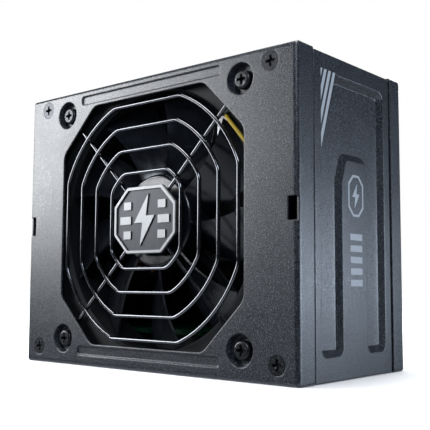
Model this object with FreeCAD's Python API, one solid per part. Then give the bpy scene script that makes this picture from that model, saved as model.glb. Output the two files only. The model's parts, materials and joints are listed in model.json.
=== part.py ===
"""Compact computer power supply: a folded steel case, a 92 mm fan behind a wire guard, a mains
inlet and switch on the top wall, cable sockets in the bottom wall, and the power circuit inside.

The unit stands with the fan face to -Y and the mains face up. The origin is the centre of its base.
"""
import FreeCAD, Part
import math
import os

V = FreeCAD.Vector

# Case
WIDTH = 125.0
DEPTH = 63.5
HEIGHT = 100.0
SHEET = 0.7
BEND = 1.5
COVER_CORNER = 0.8
FAN_FLANGE = 8.3
BACK_FLANGE = 7.5
LAP_GAP = 0.05
HALF_W = WIDTH / 2
FRONT = -DEPTH / 2

# Walls held between the two covers
WALL_X = HALF_W - SHEET - LAP_GAP
WALL_TOP = HEIGHT - SHEET - LAP_GAP
WALL_BOTTOM = SHEET + LAP_GAP
WALL_START = 1.6
WALL_END = DEPTH - WALL_START
WALL_FLANGE = 4.2

# Fan face
FAN_Z = 50.5
OPENING = 85.5
OPENING_CHAMFER = 16.5
OPENING_ROUND = 5.0
FAN_PITCH = 82.5
CUP_RADIUS = 5.1
CUP_FLOOR_RADIUS = 4.4
CUP_DEPTH = 2.6
BEAD_LENGTH = 66.5
BEAD_WIDTH = 3.4
BEAD_DEPTH = 0.6
BEAD_INSET = 4.0
NOTCH_WIDTH = 3.6
NOTCH_HEIGHT = 7.0
NOTCH_REACH = 0.9
NOTCH_Z = 50.8
TOP_SCREW = (52.8, 95.3)
LOW_SCREW = (54.9, 5.8)
COVER_HEAD_RADIUS = 3.0
COVER_SHANK_RADIUS = 1.45
COVER_SCREW_LENGTH = 5.0
COVER_RECESS_DEPTH = 1.0
COVER_RECESS_REACH = 1.75
FAN_HEAD_TOP = 0.55
FAN_HEAD_RADIUS = 3.0
FAN_HEAD_ROUND = 0.9
FAN_SHANK_RADIUS = 1.85
FAN_RECESS_DEPTH = 1.3
FAN_RECESS_REACH = 1.7
RECESS_HALF_SLOT = 0.42
RECESS_RADII = (0.95, 0.3)
TAB_REACH = 4.6
THREAD_SLACK = 0.08
WALL_FILLET = 0.65

# Side pad with its pressed channel, as distances behind the fan face and heights
PAD_START = 9.2
PAD_END = 55.3
PAD_RISE = 0.4
PAD_FACE = WALL_X + PAD_RISE
PAD_EDGE = 0.38
PANEL_FOOT = 0.25
CHANNEL_DEPTH = 1.6
CHANNEL_SLOPE = 2.2
CHANNEL_STEEP = CHANNEL_DEPTH / CHANNEL_SLOPE
CHANNEL_NEAR = 12.5
CHANNEL_FAR = 51.3
CHANNEL_LOW = 7.2
CHANNEL_TOP = 93.8
CHANNEL_KNEE = 70.5
CHANNEL_SHOULDER = 20.5
ISLAND_NEAR = 24.7
ISLAND_FAR = 39.3
ISLAND_TOP = 67.8
ISLAND_KNEE = 60.5
ISLAND_SHOULDER = 27.3
CHANNEL_POINTS = (
    (CHANNEL_NEAR, CHANNEL_LOW, 2.6),
    (CHANNEL_NEAR, CHANNEL_KNEE, 4.0),
    (CHANNEL_SHOULDER, CHANNEL_TOP, 3.0),
    (CHANNEL_FAR, CHANNEL_TOP, 3.2),
    (CHANNEL_FAR, CHANNEL_LOW, 3.0),
    (ISLAND_FAR, CHANNEL_LOW, 2.6),
    (ISLAND_FAR, ISLAND_TOP, 1.4),
    (ISLAND_SHOULDER, ISLAND_TOP, 1.4),
    (ISLAND_NEAR, ISLAND_KNEE, 2.4),
    (ISLAND_NEAR, CHANNEL_LOW, 2.6),
)

# Printed marks on the side pad
INK = 0.06
STRIPES = 4
STRIPE_START = 19.7
STRIPE_STEP = 2.45
STRIPE_WIDTH = 1.4
STRIPE_OVER = 0.5
STRIPE_UNDER = 4.0
STRIPE_EDGE = 0.3
MARK_DEPTH = (ISLAND_NEAR + ISLAND_FAR) / 2 + 0.8
MARK_Z = 57.0
MARK_SIZE = (4.6, 6.6, 2.8)
MARK_LINE = 0.7
BARS = 5
BAR_START = 28.5
BAR_STEP = 3.6
BAR_SIZE = (7.2, 2.0)

# Wire guard
WIRE = 0.65
RING_COUNT = 4
RING_STEP = 7.95
INNER_FLAT = 16.4
RING_BULGE = 2.9
RING_BLEND = 5.0
WELD = 0.1
SPOKE_REACH = 51.6
SPOKE_DEPTH = WIRE + 2 * WIRE - WELD

# Badge on the guard
BADGE_HALF_W = 14.6
BADGE_HALF_H = 11.4
BADGE_CHAMFER = 6.4
BADGE_RIM = 1.1
BADGE_DEPTH = 1.2
BADGE_FIELD = 0.55
EMBLEM_RISE = 0.4
EMBLEM_BAR_STEP = 5.0
EMBLEM_BAR_START = 6.4
EMBLEM_BAR_END = 11.6
EMBLEM_BAR_TAPER = 1.7
EMBLEM_BAR_HALF = 1.35
BOLT_SCALE = 0.92

# Fan
FAN_SIZE = 92.0
FAN_FRONT = CUP_DEPTH + SHEET
FAN_THICK = 15.0
FAN_BACK = FAN_FRONT + FAN_THICK
DUCT_RADIUS = 44.3
DUCT_WALL = 1.6
FAN_FLANGE_THICK = 3.0
MOTOR_BASE_RADIUS = 15.5
CORNER_POST_RADIUS = 3.9
CORNER_HOLE_RADIUS = 1.9
MOUTH_DEPTH = 1.5
MOUTH_FLARE = 0.9
STRUT_WIDTHS = (5.2, 2.6, 2.6, 2.6)
STRUT_START = 10
BEARING_RADII = (3.6, 2.6)
BEARING_START = 3.4
MOTOR_BASE_THICK = 1.5
HUB_RADIUS = 16.0
HUB_FRONT = 5.5
HUB_BACK = 15.6
HUB_WALL = 1.2
BLADES = 9
BLADE_TIP = 43.4
BLADE_THICK = 1.1
BLADE_SWEEP = 12.5
BLADE_CHORD = 28.5
BLADE_NARROWING = 3.5
BLADE_PHASE = 17.5
LEAD_GROOVE = (33.6, 81.9)
LEAD_GROOVE_RADIUS = 1.0
YOKE_WALL = 0.8
MAGNET_WALL = 1.7
SHAFT_RADIUS = 1.5
BEARING_CLEARANCE = 0.04

# Mains face
INLET = (-37.0, 32.0)
INLET_CAVITY = (25.4, 17.0)
INLET_BODY = (27.8, 20.2)
INLET_FLANGE = (31.0, 23.6)
INLET_FLANGE_THICK = 1.6
INLET_DEPTH = 15.5
INLET_BACK = 18.0
SWITCH = (-8.0, 32.0)
SWITCH_BODY = (12.8, 19.2)
SWITCH_BEZEL = (15.0, 21.4)
SWITCH_BEZEL_THICK = 1.4
SWITCH_WALL = 0.8
SWITCH_TALL = 17.0
ROCKER_GAP = 0.3
ROCKER_TILT = 12.0
ROCKER_PIVOT = 94.7
MOUNT_INSET = 6.0
MOUNT_RADIUS = 1.75
MOUNT_COLLAR = 2.4
NOTCH_CLEAR = 3.0
VENT_HEX = 3.9
VENT_PITCH = 4.8
VENT_LIMITS = ((6.0, 57.0), (11.5, 53.0))

# Socket face
PIN_PITCH = 4.2
SOCKET_GAP = 0.3
SOCKET_WALLS = 1.7
SLOT_COUNT = 12
SLOT_PITCH = 8.0
SLOT_DEPTH = 15.0
SLOT_SIZE = (2.4, 8.0)
SLOT_ROUND = 1.1
SOCKET_RIM = 0.8
SOCKET_TALL = 11.0
SOCKET_PROUD = 0.45
SOCKET_ROWS = {27.5: (9, 5, 4, 4), 43.5: (4, 4, 4, 3, 3, 3)}
SOCKET_SPAN = 111.0
SOCKET_BOARD_Z = SOCKET_TALL + WALL_BOTTOM - SOCKET_PROUD

# Main circuit board
BOARD_DEPTH = 57.0
BOARD_THICK = 1.6
BOARD_X = 57.0
BOARD_Z = (16.0, 93.0)
STANDOFFS = ((-52.5, 20.5), (52.5, 20.5), (-52.5, 86.5), (52.5, 86.5))
CHOKE = (-40.0, 39.5)
LINE_CHOKES = ((-48.0, 62.0), (-31.0, 60.0))

# Wires inside the case, as x, distance behind the fan face, z
LEAD_RADIUS = 0.6
STOUT_RADIUS = 1.3
BEND_REACH = 12.0
TIGHT_REACH = 1.3
LEAD_DEPTH = FAN_BACK + 0.75
FAN_LEAD = (
    (10.2, LEAD_DEPTH, 60.7),
    (20.0, LEAD_DEPTH, 70.5),
    (32.5, FAN_BACK + 1.2, 84.0),
    (46.5, FAN_BACK + 5.0, 86.5),
    (54.4, FAN_BACK + 13.0, 81.5),
    (54.6, 39.5, 72.5),
    (54.6, 47.9, 70.5),
)
LEAD_SPREAD = (
    (-0.95, 0, 0.95),
    (-0.95, 0, 0.95),
    (-0.75, 0, 1.25),
    (-1.35, 1.0, 0.5),
    (-1.4, 0.5, 0.2),
    (-1.35, 0, 0),
    (-1.35, 0, 0),
)
YELLOW_LEAD = (
    (11.15, LEAD_DEPTH, 59.75),
    (20.95, LEAD_DEPTH, 69.55),
    (LEAD_GROOVE[0], LEAD_DEPTH, LEAD_GROOVE[1]),
    (LEAD_GROOVE[0], 2.15, LEAD_GROOVE[1]),
    (38.7, 2.15, 76.0),
    (47.5, 2.3, 65.8),
    (48.6, 14.0, 64.0),
    (55.95, 36.0, 65.5),
    (55.95, 41.5, 70.5),
    (55.95, 47.9, 70.5),
)
INLET_WIRES = (
    ((-44.0, 33.5, 79.1), (-44.0, 33.5, 74.5), (-36.0, 30.0, 71.5), (-20.0, 26.0, 70.8),
     (-13.0, 26.0, 69.8), (-9.0, 26.6, 71.5), (-8.0, 27.0, 75.2)),
    ((-30.0, 33.5, 79.1), (-30.0, 33.5, 75.5), (-31.5, 38.0, 72.0), (-33.5, 46.0, 71.0),
     (-33.5, BOARD_DEPTH, 71.0)),
)
EARTH_WIRE = ((-37.0, 29.2, 79.1), (-37.0, 29.2, 75.5), (-43.0, 25.5, 74.0), (-52.0, 22.0, 78.5),
              (-56.2, 20.6, 84.5), (-56.2, 20.6, 91.45))


# ---------------------------------------------------------------- shared shapes

def deep(distance):
    """Y of a point this far behind the fan face."""
    return FRONT + distance


def block(x, y, z):
    """Box between three pairs of limits."""
    return Part.makeBox(x[1] - x[0], y[1] - y[0], z[1] - z[0], V(x[0], y[0], z[0]))


def slab(x, depth, z):
    """Box whose middle limits are distances behind the fan face."""
    return block(x, (deep(depth[0]), deep(depth[1])), z)


def centred(x, depth, z, size):
    """Box of a size about a middle point given as x, distance behind the fan face, z."""
    low = V(x - size[0] / 2, deep(depth) - size[1] / 2, z - size[2] / 2)
    return Part.makeBox(size[0], size[1], size[2], low)


def rod(start, end, radius):
    """Cylinder between two points."""
    line = end - start
    return Part.makeCylinder(radius, line.Length, start, line)


def y_rod(x, z, depth, radius):
    """Cylinder along Y between two distances behind the fan face."""
    return rod(V(x, deep(depth[0]), z), V(x, deep(depth[1]), z), radius)


def y_tube(x, z, depth, outer, inner):
    """Tube along Y."""
    return y_rod(x, z, depth, outer).cut(y_rod(x, z, depth, inner))


def y_cone(x, z, depth, radii):
    """Cone along Y with one radius at each of two depths."""
    start = V(x, deep(depth[0]), z)
    return Part.makeCone(radii[0], radii[1], depth[1] - depth[0], start, V(0, 1, 0))


def z_rod(x, depth, z, radius):
    """Cylinder along Z between two heights."""
    return rod(V(x, deep(depth), z[0]), V(x, deep(depth), z[1]), radius)


def joined(shapes):
    """One solid from overlapping shapes."""
    return shapes[0].multiFuse(shapes[1:]).removeSplitter()


def group(shapes):
    """Separate solids kept together."""
    return Part.makeCompound(shapes)


def mirrored(shape):
    """The same shape on the other side of X."""
    return shape.mirror(V(0, 0, 0), V(1, 0, 0))


def both_sides(shape):
    """A shape and its mirror image."""
    return [shape, mirrored(shape)]


def rounded_wire(points, radii):
    """Closed wire through points in one plane, with an arc at each corner."""
    arcs = []
    for index, point in enumerate(points):
        back = (points[index - 1] - point).normalize()
        ahead = (points[(index + 1) % len(points)] - point).normalize()
        half = back.getAngle(ahead) / 2
        reach = radii[index] / math.tan(half)
        middle = (back + ahead).normalize()
        centre = point + middle * (radii[index] / math.sin(half))
        arcs.append((point + back * reach, centre - middle * radii[index], point + ahead * reach))
    edges = []
    for index, (start, middle, end) in enumerate(arcs):
        edges.append(Part.Arc(start, middle, end).toShape())
        edges.append(Part.LineSegment(end, arcs[(index + 1) % len(arcs)][0]).toShape())
    return Part.Wire(edges)


def face_points(pairs, depth):
    """Points in a plane behind the fan face, from x, z pairs."""
    return [V(x, deep(depth), z) for x, z in pairs]


def front_plate(pairs, radius, depth):
    """Rounded plate parallel to the fan face between two depths."""
    wire = rounded_wire(face_points(pairs, depth[0]), [radius] * len(pairs))
    return Part.Face(wire).extrude(V(0, depth[1] - depth[0], 0))


def top_plate(centre, size, radius, z):
    """Rounded rectangle parallel to the base between two heights; centre is x and depth."""
    x = centre[0]
    y = deep(centre[1])
    corners = []
    for sign_x, sign_y in ((-1, -1), (1, -1), (1, 1), (-1, 1)):
        corners.append(V(x + sign_x * size[0] / 2, y + sign_y * size[1] / 2, z[0]))
    wire = rounded_wire(corners, [radius] * 4)
    return Part.Face(wire).extrude(V(0, 0, z[1] - z[0]))


def octagon(half_w, half_h, chamfer, middle_z):
    """Corner pairs of a chamfered rectangle."""
    pairs = []
    for sign_x, sign_z in ((1, 1), (1, -1), (-1, -1), (-1, 1)):
        side = (sign_x * half_w, middle_z + sign_z * (half_h - chamfer))
        end = (sign_x * (half_w - chamfer), middle_z + sign_z * half_h)
        pairs.extend((end, side) if sign_x == sign_z else (side, end))
    return pairs


def fan_corners():
    """The four fan screw positions."""
    half = FAN_PITCH / 2
    return [(sx * half, FAN_Z + sz * half) for sx in (-1, 1) for sz in (-1, 1)]


def cover_screw_places():
    """The four cover screw positions on one face."""
    return [(sign * x, z) for x, z in (TOP_SCREW, LOW_SCREW) for sign in (-1, 1)]


def mount_places():
    """x and depth of the four case mounting holes on the mains face."""
    x = HALF_W - MOUNT_INSET
    return [(sign * x, depth) for sign in (-1, 1) for depth in (MOUNT_INSET, DEPTH - MOUNT_INSET)]


def across_case(shape):
    """The same shape on the back of the case."""
    return shape.mirror(V(0, 0, 0), V(0, 1, 0))


def edges_where(shape, test):
    """Edges whose two ends both pass a test."""
    return [e for e in shape.Edges if all(test(v.Point) for v in e.Vertexes)]


# ---------------------------------------------------------------- covers

def tray(flange):
    """Folded tray that opens to +Y."""
    outer = slab((-HALF_W, HALF_W), (0, flange), (0, HEIGHT))
    upright = [e for e in outer.Edges if abs(e.tangentAt(e.FirstParameter).y) > 0.9]
    outer = outer.makeFillet(COVER_CORNER, upright)
    outer = outer.makeFillet(BEND, edges_where(outer, lambda p: p.y < FRONT + 0.01))
    inner_x = (SHEET - HALF_W, HALF_W - SHEET)
    inner = slab(inner_x, (SHEET, flange + 1), (SHEET, HEIGHT - SHEET))
    floor_y = FRONT + SHEET + 0.01
    inner = inner.makeFillet(BEND - SHEET, edges_where(inner, lambda p: p.y < floor_y))
    return outer.cut(inner)


def bead_loft(middle_z, depth, grow):
    """Tapered plug of one long bead between two depths; grow widens it at each."""
    wires = []
    for level, extra in zip(depth, grow):
        half_l = BEAD_LENGTH / 2 + extra
        half_w = BEAD_WIDTH / 2 + extra
        pairs = [(half_l, middle_z + half_w), (half_l, middle_z - half_w)]
        pairs += [(-half_l, middle_z - half_w), (-half_l, middle_z + half_w)]
        wires.append(rounded_wire(face_points(pairs, level), [0.6 * half_w] * 4))
    return Part.makeLoft(wires, True, True)


def pressed(sheet, middle_z):
    """A tray with one bead pressed into its face."""
    back = bead_loft(middle_z, (SHEET - 0.1, SHEET + BEAD_DEPTH), (0.3, 0.05))
    hollow = bead_loft(middle_z, (-0.1, BEAD_DEPTH), (0.05, -0.35))
    return sheet.fuse(back).cut(hollow)


def screw_cone(x, z, gap):
    """Countersunk head of a cover screw, widened by a gap."""
    head = COVER_HEAD_RADIUS + gap
    shank = COVER_SHANK_RADIUS + gap
    return y_cone(x, z, (0, head - shank), (head, shank))


def mount_notch(flange):
    """Open notch in a cover's top flange, clear of a case mounting screw."""
    x = HALF_W - MOUNT_INSET
    z = (HEIGHT - SHEET - 1, HEIGHT + 1)
    slot = slab((x - NOTCH_CLEAR, x + NOTCH_CLEAR), (MOUNT_INSET, flange + 1), z)
    return z_rod(x, MOUNT_INSET, z, NOTCH_CLEAR).fuse(slot)


def cover(flange):
    """Tray with beads and countersunk holes."""
    sheet = tray(flange)
    for middle_z in (FAN_Z + OPENING / 2 + BEAD_INSET - BEAD_WIDTH / 2 + 0.4, BEAD_INSET + 1.3):
        sheet = pressed(sheet, middle_z)
    cuts = [screw_cone(x, z, THREAD_SLACK) for x, z in cover_screw_places()]
    return sheet.cut(cuts + both_sides(mount_notch(flange)))


def fan_cover():
    """Front tray with the fan opening, screw cups and edge notches."""
    sheet = cover(FAN_FLANGE)
    cups = []
    hollows = []
    for x, z in fan_corners():
        radii = (CUP_RADIUS + SHEET, CUP_FLOOR_RADIUS + SHEET)
        cups.append(y_cone(x, z, (0.3, FAN_FRONT), radii))
        hollows.append(y_cone(x, z, (-0.01, CUP_DEPTH), (CUP_RADIUS, CUP_FLOOR_RADIUS)))
        hollows.append(y_rod(x, z, (0, FAN_FRONT + 1), 2.2))
    half = OPENING / 2
    pairs = octagon(half, half, OPENING_CHAMFER, FAN_Z)
    opening = front_plate(pairs, OPENING_ROUND, (-1, SHEET + 1))
    notch_x = (HALF_W - NOTCH_WIDTH, HALF_W + 1)
    notch_z = (NOTCH_Z - NOTCH_HEIGHT / 2, NOTCH_Z + NOTCH_HEIGHT / 2)
    notch = slab(notch_x, (-1, NOTCH_REACH), notch_z)
    sheet = sheet.multiFuse(cups).cut(hollows + [opening] + both_sides(notch))
    rim = [e for e in sheet.Edges if on_opening_rim(e)]
    return sheet.makeFillet(0.22, rim)


def on_opening_rim(edge):
    """Whether an edge lies on the outer rim of the fan opening."""
    reach = OPENING / 2 + 0.01
    for vertex in edge.Vertexes:
        point = vertex.Point
        inside = abs(point.x) < reach and abs(point.z - FAN_Z) < reach
        past_cups = abs(point.x) + abs(point.z - FAN_Z) < OPENING - OPENING_CHAMFER + 0.01
        if abs(point.y - FRONT) > 0.01 or not inside or not past_cups:
            return False
    return True


def back_cover():
    """Plain rear tray."""
    return across_case(cover(BACK_FLANGE))


# ---------------------------------------------------------------- side panels


def channel_wire(drop, plan):
    """Outline of the arch-shaped channel at one level, moved inwards by a distance."""
    points = []
    radii = []
    for index, (depth, z, radius) in enumerate(CHANNEL_POINTS):
        before = CHANNEL_POINTS[index - 1]
        after = CHANNEL_POINTS[(index + 1) % len(CHANNEL_POINTS)]
        come = V(depth - before[0], z - before[1], 0).normalize()
        leave = V(after[0] - depth, after[1] - z, 0).normalize()
        inward = V(come.y + leave.y, -come.x - leave.x, 0)
        shift = inward * (plan / (1 + come.dot(leave)))
        points.append(V(PAD_FACE - drop, deep(depth + shift.x), z + shift.y))
        outer_corner = come.cross(leave).z < 0
        radii.append(max(radius - plan, 0.3) if outer_corner else radius + plan)
    return rounded_wire(points, radii)


def channel_plug(levels, offset):
    """Sloped plug of the channel between two levels below the pad's face."""
    wires = []
    for level in levels:
        plan = (level - offset) / CHANNEL_STEEP
        wires.append(channel_wire(level, plan))
    return Part.makeLoft(wires, True, True)


def stamped_block(wall_face, pad_face, edge, plug, over):
    """Solid under one face of the stamped panel."""
    base = slab((HALF_W - 6, wall_face), (WALL_START - over, WALL_END + over), (-over, HEIGHT + over))
    pad = slab((HALF_W - 6, pad_face), (PAD_START + edge, PAD_END - edge), (-over, HEIGHT + over))
    rims = edges_where(pad, lambda p: p.x > pad_face - 0.01)
    rims = [e for e in rims if abs(e.tangentAt(0).z) > 0.9]
    pad = pad.makeFillet(PAD_EDGE if edge == 0 else 0.8 * PAD_EDGE, rims)
    return base.fuse(pad).cut(plug)


def side_panel():
    """Right wall: a raised pad with an arch-shaped channel pressed into it."""
    skin_shift = SHEET * math.hypot(1, CHANNEL_STEEP)
    outside = channel_plug((-0.3, CHANNEL_DEPTH), 0)
    inside = channel_plug((SHEET - 0.3, CHANNEL_DEPTH + SHEET), skin_shift)
    outer = stamped_block(WALL_X, PAD_FACE, 0, outside, 0)
    inner = stamped_block(WALL_X - SHEET, PAD_FACE - SHEET, 0.4, inside, 1)
    panel = outer.cut(inner)
    x = (HALF_W - 8, HALF_W + 1)
    under_covers = slab(x, (0, DEPTH), (WALL_BOTTOM, WALL_TOP))
    between = slab(x, (FAN_FLANGE + 0.1, DEPTH - BACK_FLANGE - 0.1), (PANEL_FOOT, WALL_TOP))
    return panel.common(under_covers.fuse(between))


def side_marks():
    """Printed slanted stripes, and a plain octagon badge with bars, on the right panel."""
    return group(slanted_stripes() + small_badge() + printed_bars())


def slanted_stripes():
    """Stripes along the channel's slanted shoulder, cut off at its near edge."""
    lean = (CHANNEL_SHOULDER - CHANNEL_NEAR) / (CHANNEL_TOP - CHANNEL_KNEE)
    top = CHANNEL_TOP + STRIPE_OVER
    foot = CHANNEL_KNEE - STRIPE_UNDER
    fall = (top - foot) * lean
    past_edge = slab((WALL_X - 1, HALF_W + 1), (CHANNEL_NEAR + STRIPE_EDGE, DEPTH), (0, HEIGHT))
    stripes = []
    for index in range(STRIPES):
        near = STRIPE_START - STRIPE_STEP * index
        far = near + STRIPE_WIDTH
        pairs = ((near, top), (far, top), (far - fall, foot), (near - fall, foot))
        stripes.append(ink_patch(pairs, INK).common(past_edge))
    return stripes


def small_badge():
    """Printed octagon ring round a lightning bolt."""
    half_w, half_h, chamfer = MARK_SIZE
    inner = octagon(half_w - MARK_LINE, half_h - MARK_LINE, chamfer - 0.4 * MARK_LINE, MARK_Z)
    ring = ink_patch(octagon(half_w, half_h, chamfer, MARK_Z), INK, MARK_DEPTH)
    ring = ring.cut(ink_patch(inner, INK * 3, MARK_DEPTH))
    return [ring, ink_patch(bolt_pairs(MARK_Z, 0.42), INK, MARK_DEPTH)]


def printed_bars():
    """Column of bars below the printed badge."""
    half = BAR_SIZE[0] / 2
    bars = []
    for index in range(BARS):
        low = BAR_START + BAR_STEP * index
        high = low + BAR_SIZE[1]
        bars.append(ink_patch(((-half, low), (-half, high), (half, high), (half, low)), INK, MARK_DEPTH))
    return bars


def ink_patch(pairs, thick, middle=0.0):
    """Thin flat print on the pad from depth, z pairs about a middle depth."""
    points = [V(PAD_FACE, deep(depth + middle), z) for depth, z in pairs]
    return Part.Face(Part.makePolygon(points + points[:1])).extrude(V(thick, 0, 0))


def bolt_pairs(middle_z, scale):
    """Corner pairs of a lightning bolt."""
    shape = ((2.0, 9.5), (-5.2, -1.0), (-0.9, -1.0), (-2.0, -9.5), (5.2, 1.5), (0.9, 1.5))
    return [(x * scale, middle_z + z * scale) for x, z in shape]


# ---------------------------------------------------------------- mains wall and socket wall

def wall_sheet(z, fold):
    """Flat wall between the covers, with flanges folded to the inside at each end."""
    inner_x = WALL_X - SHEET - LAP_GAP
    flat = slab((-inner_x, inner_x), (WALL_START, WALL_END), (min(z, z + fold), max(z, z + fold)))
    fold_end = z + math.copysign(WALL_FLANGE, fold)
    limits_z = (min(z, fold_end), max(z, fold_end))
    flange = slab((inner_x - SHEET, inner_x), (WALL_START + 8, WALL_END - 8), limits_z)
    return joined([flat] + both_sides(flange))


def screw_tab(place, z):
    """Folded ear behind a cover, threaded for one cover screw."""
    x, screw_z = place
    limits_z = sorted((z, screw_z + math.copysign(TAB_REACH, screw_z - z)))
    tab = slab((x - 5, x + 4), (SHEET + LAP_GAP, 2 * SHEET + LAP_GAP), limits_z)
    bridge = slab((x - 5, x + 4), (SHEET + LAP_GAP, WALL_START + 1), (z - SHEET / 2, z + SHEET / 2))
    bridge.translate(V(0, 0, math.copysign(SHEET / 2, screw_z - z)))
    return tab.fuse(bridge)


def with_tabs(sheet, place, z):
    """A wall with its four screw ears."""
    tabs = both_sides(screw_tab(place, z))
    tabs += [across_case(tab) for tab in tabs]
    holes = [screw_cone(sign * place[0], place[1], THREAD_SLACK) for sign in (-1, 1)]
    hole_radius = COVER_SHANK_RADIUS + THREAD_SLACK
    holes += [y_rod(sign * place[0], place[1], (0, COVER_SCREW_LENGTH - 1), hole_radius) for sign in (-1, 1)]
    holes += [across_case(hole) for hole in holes]
    sheet = sheet.multiFuse(tabs)
    fold_test = lambda p: abs(p.z - z) < 0.01 and abs(abs(p.y) - DEPTH / 2 + SHEET + LAP_GAP) < 0.01
    sheet = sheet.makeFillet(WALL_FILLET, edges_where(sheet, fold_test))
    return sheet.cut(holes)


def vent_holes():
    """Honeycomb of hexagonal holes in the mains wall."""
    (x_low, x_high), (d_low, d_high) = VENT_LIMITS
    row_step = VENT_PITCH * math.sqrt(3) / 2
    rows = int((x_high - x_low) / row_step)
    holes = []
    for row in range(rows + 1):
        offset = VENT_PITCH / 2 if row % 2 else 0
        columns = int((d_high - d_low - offset) / VENT_PITCH)
        for column in range(columns + 1):
            centre = V(x_low + row * row_step, deep(d_low + offset + column * VENT_PITCH), WALL_TOP - 2)
            holes.append(hexagon_prism(centre, VENT_HEX / math.sqrt(3)))
    return holes


def hexagon_prism(centre, radius):
    """Six-sided punch through the mains wall."""
    points = []
    for step in range(7):
        angle = math.radians(60 * step)
        points.append(centre + V(radius * math.cos(angle), radius * math.sin(angle), 0))
    return Part.Face(Part.makePolygon(points)).extrude(V(0, 0, 4))


def ac_panel():
    """Top wall with the inlet and switch cut-outs and the honeycomb vent."""
    sheet = with_tabs(wall_sheet(WALL_TOP, -SHEET), TOP_SCREW, WALL_TOP)
    z = (WALL_TOP - 2, WALL_TOP + 1)
    inlet = top_plate(INLET, (INLET_BODY[0] + 0.3, INLET_BODY[1] + 0.3), 1.2, z)
    switch = top_plate(SWITCH, (SWITCH_BODY[0] + 0.2, SWITCH_BODY[1] + 0.2), 0.4, z)
    cuts = [inlet, switch]
    collar_z = (WALL_TOP - SHEET - 1.5, WALL_TOP - 0.1)
    collars = [z_rod(x, depth, collar_z, MOUNT_COLLAR) for x, depth in mount_places()]
    cuts += [z_rod(x, depth, (WALL_TOP - 8, HEIGHT), MOUNT_RADIUS) for x, depth in mount_places()]
    return sheet.multiFuse(collars).cut(cuts + vent_holes())


def socket_layout():
    """Middle x, depth and column count of every cable socket."""
    places = []
    for depth, counts in SOCKET_ROWS.items():
        widths = [socket_width(count) for count in counts]
        gap = (SOCKET_SPAN - sum(widths)) / (len(counts) - 1)
        x = -SOCKET_SPAN / 2
        for count, width in zip(counts, widths):
            places.append((x + width / 2, depth, count))
            x += width + gap
    return places


def socket_width(columns):
    """Outer width of a socket."""
    return columns * PIN_PITCH + 2 * SOCKET_RIM - 0.4


def socket_panel():
    """Bottom wall with a cut-out for each cable socket and a row of vent slots."""
    sheet = with_tabs(wall_sheet(WALL_BOTTOM, SHEET), LOW_SCREW, WALL_BOTTOM)
    z = (WALL_BOTTOM - 1, WALL_BOTTOM + 2)
    cuts = []
    for x, depth, columns in socket_layout():
        size = (socket_width(columns) + SOCKET_GAP, 2 * PIN_PITCH + SOCKET_WALLS)
        cuts.append(top_plate((x, depth), size, SOCKET_GAP, z))
    for index in range(SLOT_COUNT):
        slot_x = (index - (SLOT_COUNT - 1) / 2) * SLOT_PITCH
        cuts.append(top_plate((slot_x, SLOT_DEPTH), SLOT_SIZE, SLOT_ROUND, z))
    return sheet.cut(cuts)


# ---------------------------------------------------------------- fasteners

def cross_recess(x, z, depth, reach):
    """Cross-shaped driver recess."""
    half = RECESS_HALF_SLOT
    wide = slab((x - reach, x + reach), depth, (z - half, z + half))
    tall = slab((x - half, x + half), depth, (z - reach, z + reach))
    middle = y_cone(x, z, depth, RECESS_RADII)
    return joined([wide, tall, middle])


def cover_screw(x, z):
    """Countersunk screw."""
    head = screw_cone(x, z, 0)
    shank = y_rod(x, z, (SHEET / 2, COVER_SCREW_LENGTH), COVER_SHANK_RADIUS)
    return joined([head, shank]).cut(cross_recess(x, z, (-0.01, COVER_RECESS_DEPTH), COVER_RECESS_REACH))


def cover_screws():
    """Eight countersunk screws, four in each cover."""
    front = [cover_screw(x, z) for x, z in cover_screw_places()]
    return group(front + [across_case(screw) for screw in front])


def fan_screw(x, z):
    """Pan-head screw from a cup into the fan frame."""
    top = FAN_HEAD_TOP
    head = y_rod(x, z, (top, CUP_DEPTH), FAN_HEAD_RADIUS)
    head = head.makeFillet(FAN_HEAD_ROUND, edges_where(head, lambda p: p.y < deep(top) + 0.01))
    shank = y_rod(x, z, (CUP_DEPTH - 0.1, FAN_BACK - 1), FAN_SHANK_RADIUS)
    recess = cross_recess(x, z, (top - 0.01, top + FAN_RECESS_DEPTH), FAN_RECESS_REACH)
    return joined([head, shank]).cut(recess)


def fan_screws():
    """Four pan-head screws."""
    return group([fan_screw(x, z) for x, z in fan_corners()])


# ---------------------------------------------------------------- wire guard and badge

def ring_path(flat, depth):
    """Smooth loop: a circle cut by four flats, with blended joins."""
    radius = flat + RING_BULGE
    blend_x = math.sqrt((radius - RING_BLEND) ** 2 - (flat - RING_BLEND) ** 2)
    blend = V(blend_x, 0, flat - RING_BLEND)
    on_circle = blend * (radius / (radius - RING_BLEND))
    on_flat = V(blend_x, 0, flat)
    halfway = (on_flat - blend) + (on_circle - blend)
    on_blend = blend + halfway.normalize() * RING_BLEND
    centre = V(0, deep(depth), FAN_Z)
    diagonal = V(radius / math.sqrt(2), 0, radius / math.sqrt(2))
    swap = lambda p: V(p.z, 0, p.x)
    edges = [
        Part.LineSegment(centre + V(-blend_x, 0, flat), centre + on_flat).toShape(),
        Part.Arc(centre + on_flat, centre + on_blend, centre + on_circle).toShape(),
        Part.Arc(centre + on_circle, centre + diagonal, centre + swap(on_circle)).toShape(),
        Part.Arc(centre + swap(on_circle), centre + swap(on_blend), centre + swap(on_flat)).toShape(),
    ]
    quarter = Part.Wire(edges)
    path = []
    for turn in range(4):
        copy = quarter.copy()
        copy.rotate(centre, V(0, 1, 0), 90 * turn)
        path.extend(copy.Edges)
    return Part.Wire(path)


def guard_ring(flat):
    """One wire ring, flush with the fan face."""
    path = ring_path(flat, WIRE)
    start = V(0, deep(WIRE), FAN_Z + flat)
    profile = Part.Wire(Part.makeCircle(WIRE, start, V(1, 0, 0)))
    return path.makePipeShell([profile], True, False)


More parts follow.
